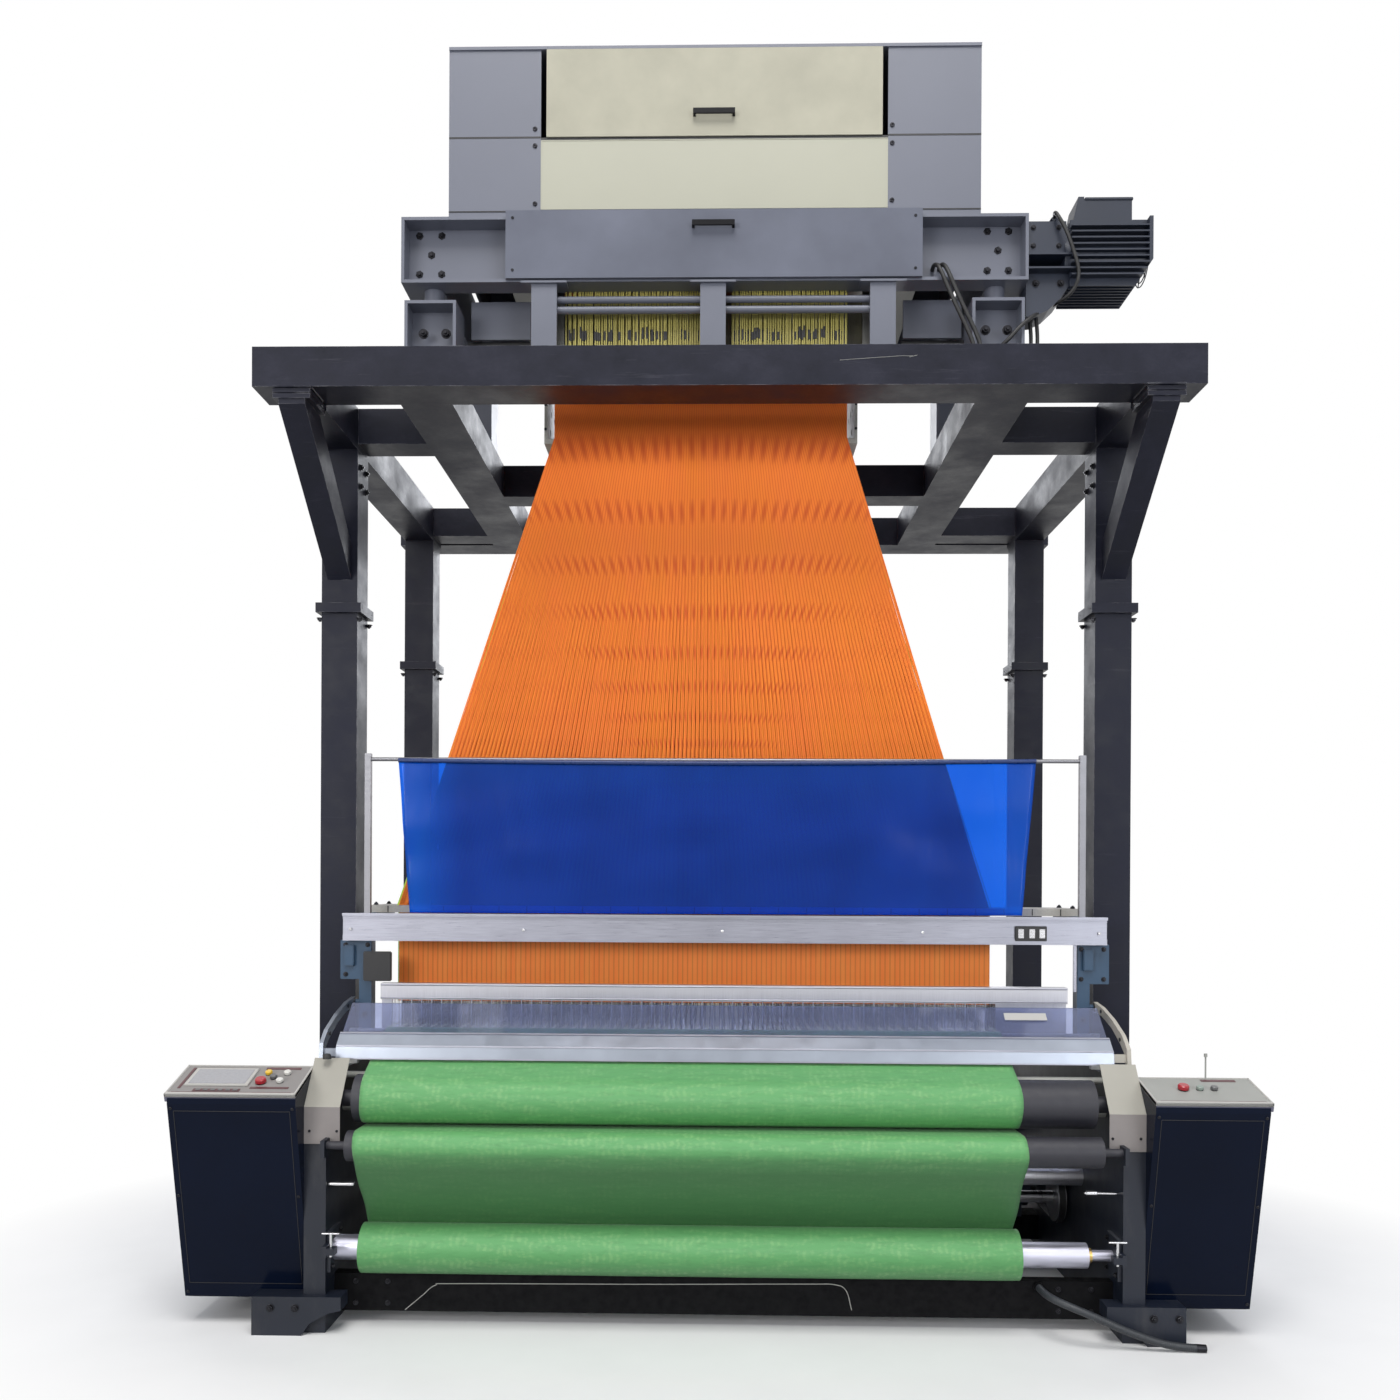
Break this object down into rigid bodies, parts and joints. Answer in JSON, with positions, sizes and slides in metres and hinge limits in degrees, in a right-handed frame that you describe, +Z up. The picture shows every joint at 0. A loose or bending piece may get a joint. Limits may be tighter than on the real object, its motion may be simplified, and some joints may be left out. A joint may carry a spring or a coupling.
{
  "type": "power loom",
  "caption": "Wide power loom with a jacquard machine on a steel gantry, harness, reed, cloth take-up rollers, warp beam and control cabinets.",
  "frame": {"origin": "floor level, on the middle of the loom's side frames, near the middle of its depth", "axes": "+Z up, +X to the operator's right, -Y towards the operator"},
  "size_m": [3.922, 2.4909, 4.9113],
  "materials": {
    "gantry_steel": "mill-scaled steel under thin dark paint",
    "housing_paint": "semi-gloss grey-blue paint",
    "cream_paint": "semi-gloss cream paint",
    "cover_paint": "satin grey paint",
    "hook_steel": "oiled steel",
    "motor_paint": "dark navy paint",
    "cable_black": "smooth black sheath",
    "board": "drilled composite board",
    "harness_cord": "twisted orange cord",
    "heddle_wire": "fine steel wire",
    "aluminium": "drawn aluminium extrusion",
    "loom_paint": "gloss navy paint",
    "floor_black": "black paint",
    "machine_steel": "ground steel",
    "roller_dark": "dark ribbed roller covering",
    "reed_steel": "polished flat wire",
    "film_blue": "clear bluish plastic film",
    "cloth_green": "satin figured weave",
    "warp_yarn": "fine parallel yarn",
    "core_tube": "bare aluminium tube",
    "hood_glass": "clear sheet",
    "cover_white": "warm off-white paint",
    "belt_rubber": "black belt",
    "hose_grey": "grey corrugated hose",
    "fitting_steel": "plated steel",
    "button_red": "moulded plastic",
    "button_yellow": "moulded plastic",
    "button_white": "moulded plastic",
    "button_black": "moulded plastic"
  },
  "bodies": {
    "root": {"gantry_posts": "gantry_steel", "gantry_deck": "gantry_steel", "gantry_braces": "gantry_steel", "jacquard_frame": "housing_paint", "jacquard_walls": "housing_paint", "jacquard_front_panel": "cream_paint", "hook_block": "hook_steel", "jacquard_motor": "motor_paint", "jacquard_cables": "cable_black", "harness_boards": "board", "harness_fan": "harness_cord", "heddles": "heddle_wire", "comber_rail": "aluminium", "rail_brackets": "loom_paint", "film_frame": "aluminium", "film": "film_blue", "side_frame_left": "loom_paint", "side_frame_right": "loom_paint", "cross_members": "floor_black", "cabinet_left": "loom_paint", "cabinet_right": "loom_paint", "bearing_covers": "cover_white", "breast_bars": "machine_steel", "cloth_sheet": "cloth_green", "roll_brackets": "loom_paint", "warp_sheet": "warp_yarn", "letoff_motor": "motor_paint", "main_motor": "motor_paint", "drive_belt": "belt_rubber", "hose": "hose_grey", "hose_coupling": "fitting_steel"},
    "sley": {"sley_beam": "machine_steel", "reed": "reed_steel"},
    "takeup": {"takeup_roller": "roller_dark"},
    "press": {"press_roller": "machine_steel"},
    "guide": {"guide_roller": "machine_steel"},
    "cloth_roll": {"cloth_core": "core_tube", "cloth_winding": "cloth_green"},
    "beam": {"warp_beam": "machine_steel", "warp_winding": "warp_yarn"},
    "pinion": {"letoff_pinion": "machine_steel"},
    "back_rest": {"back_rest_roller": "machine_steel"},
    "knives_front": {"knife_frame_front": "hook_steel"},
    "knives_rear": {"knife_frame_rear": "hook_steel"},
    "door": {"upper_door": "cream_paint"},
    "cover": {"lower_cover": "cover_paint"},
    "hood": {"hood_glass": "hood_glass", "hood_rail": "aluminium"},
    "drive_shaft": {"main_shaft": "machine_steel"},
    "motor_shaft": {"motor_pulley": "machine_steel"},
    "clamp_left": {"clamp_handle_left": "fitting_steel"},
    "clamp_right": {"clamp_handle_right": "fitting_steel"},
    "stop_left": {"stop_button_left": "button_red"},
    "yellow": {"yellow_button": "button_yellow"},
    "white": {"white_button": "button_white"},
    "clear": {"clear_button": "button_white"},
    "black": {"black_button": "button_black"},
    "stop_right": {"stop_button_right": "button_red"},
    "start": {"start_button": "button_white"},
    "jog": {"jog_button": "button_black"}
  },
  "joints": [
    {"name": "sley_swing", "type": "hinge", "parent": "root", "child": "sley", "pos_m": [0, -0.63, 0.48], "axis": [1, 0, 0], "range_deg": [0, 8.5]},
    {"name": "takeup_spin", "type": "hinge", "parent": "root", "child": "takeup", "pos_m": [0, -1.064, 0.841], "axis": [1, 0, 0], "continuous": true},
    {"name": "press_spin", "type": "hinge", "parent": "root", "child": "press", "pos_m": [0, -0.93312, 0.79129], "axis": [1, 0, 0], "continuous": true},
    {"name": "guide_spin", "type": "hinge", "parent": "root", "child": "guide", "pos_m": [0, -1.181, 0.69], "axis": [1, 0, 0], "continuous": true},
    {"name": "cloth_roll_spin", "type": "hinge", "parent": "root", "child": "cloth_roll", "pos_m": [0, -1.071, 0.291], "axis": [1, 0, 0], "continuous": true},
    {"name": "warp_beam_spin", "type": "hinge", "parent": "root", "child": "beam", "pos_m": [0, 0.83, 0.56], "axis": [1, 0, 0], "continuous": true},
    {"name": "pinion_spin", "type": "hinge", "parent": "root", "child": "pinion", "pos_m": [0, 0.55937, 0.4615], "axis": [1, 0, 0], "continuous": true},
    {"name": "back_rest_spin", "type": "hinge", "parent": "root", "child": "back_rest", "pos_m": [0, 1.05, 0.9852], "axis": [1, 0, 0], "continuous": true},
    {"name": "main_shaft_spin", "type": "hinge", "parent": "root", "child": "drive_shaft", "pos_m": [0, -0.38, 0.33], "axis": [1, 0, 0], "continuous": true},
    {"name": "motor_spin", "type": "hinge", "parent": "root", "child": "motor_shaft", "pos_m": [0, 0.06, 0.29], "axis": [1, 0, 0], "continuous": true},
    {"name": "knives_front_lift", "type": "slide", "parent": "root", "child": "knives_front", "axis": [0, 0, 1], "range_m": [-0.04, 0.04]},
    {"name": "knives_rear_lift", "type": "slide", "parent": "root", "child": "knives_rear", "axis": [0, 0, 1], "range_m": [-0.04, 0.04]},
    {"name": "upper_door_swing", "type": "hinge", "parent": "root", "child": "door", "pos_m": [0, -0.794, 4.8977], "axis": [-1, 0, 0], "range_deg": [0, 100]},
    {"name": "lower_cover_swing", "type": "hinge", "parent": "root", "child": "cover", "pos_m": [0, -0.8873, 3.959], "axis": [1, 0, 0], "range_deg": [0, 90]},
    {"name": "hood_swing", "type": "hinge", "parent": "root", "child": "hood", "pos_m": [0, -0.6, 1.15], "axis": [-1, 0, 0], "range_deg": [0, 55]},
    {"name": "clamp_turn_left", "type": "hinge", "parent": "root", "child": "clamp_left", "pos_m": [-1.413, -1.172, 0.306], "axis": [0, 0, 1], "range_deg": [0, 180]},
    {"name": "clamp_turn_right", "type": "hinge", "parent": "root", "child": "clamp_right", "pos_m": [1.413, -1.172, 0.306], "axis": [0, 0, 1], "range_deg": [0, 180]},
    {"name": "stop_left_press", "type": "slide", "parent": "root", "child": "stop_left", "axis": [0, 0.3243, -0.9459], "range_m": [0, 0.004], "stiffness_N_per_m": 600},
    {"name": "yellow_press", "type": "slide", "parent": "root", "child": "yellow", "axis": [0, 0.3243, -0.9459], "range_m": [0, 0.004], "stiffness_N_per_m": 600},
    {"name": "white_press", "type": "slide", "parent": "root", "child": "white", "axis": [0, 0.3243, -0.9459], "range_m": [0, 0.004], "stiffness_N_per_m": 600},
    {"name": "clear_press", "type": "slide", "parent": "root", "child": "clear", "axis": [0, 0.3243, -0.9459], "range_m": [0, 0.004], "stiffness_N_per_m": 600},
    {"name": "black_press", "type": "slide", "parent": "root", "child": "black", "axis": [0, 0.3243, -0.9459], "range_m": [0, 0.004], "stiffness_N_per_m": 600},
    {"name": "stop_right_press", "type": "slide", "parent": "root", "child": "stop_right", "axis": [0, 0.2577, -0.9662], "range_m": [0, 0.004], "stiffness_N_per_m": 600},
    {"name": "start_press", "type": "slide", "parent": "root", "child": "start", "axis": [0, 0.2577, -0.9662], "range_m": [0, 0.004], "stiffness_N_per_m": 600},
    {"name": "jog_press", "type": "slide", "parent": "root", "child": "jog", "axis": [0, 0.2577, -0.9662], "range_m": [0, 0.004], "stiffness_N_per_m": 600}
  ],
  "couplings": [
    {"joint": "press_spin", "follows": "takeup_spin", "ratio": -1.76},
    {"joint": "pinion_spin", "follows": "warp_beam_spin", "ratio": -5},
    {"joint": "motor_spin", "follows": "main_shaft_spin", "ratio": 2},
    {"joint": "knives_rear_lift", "follows": "knives_front_lift", "ratio": -1}
  ]
}
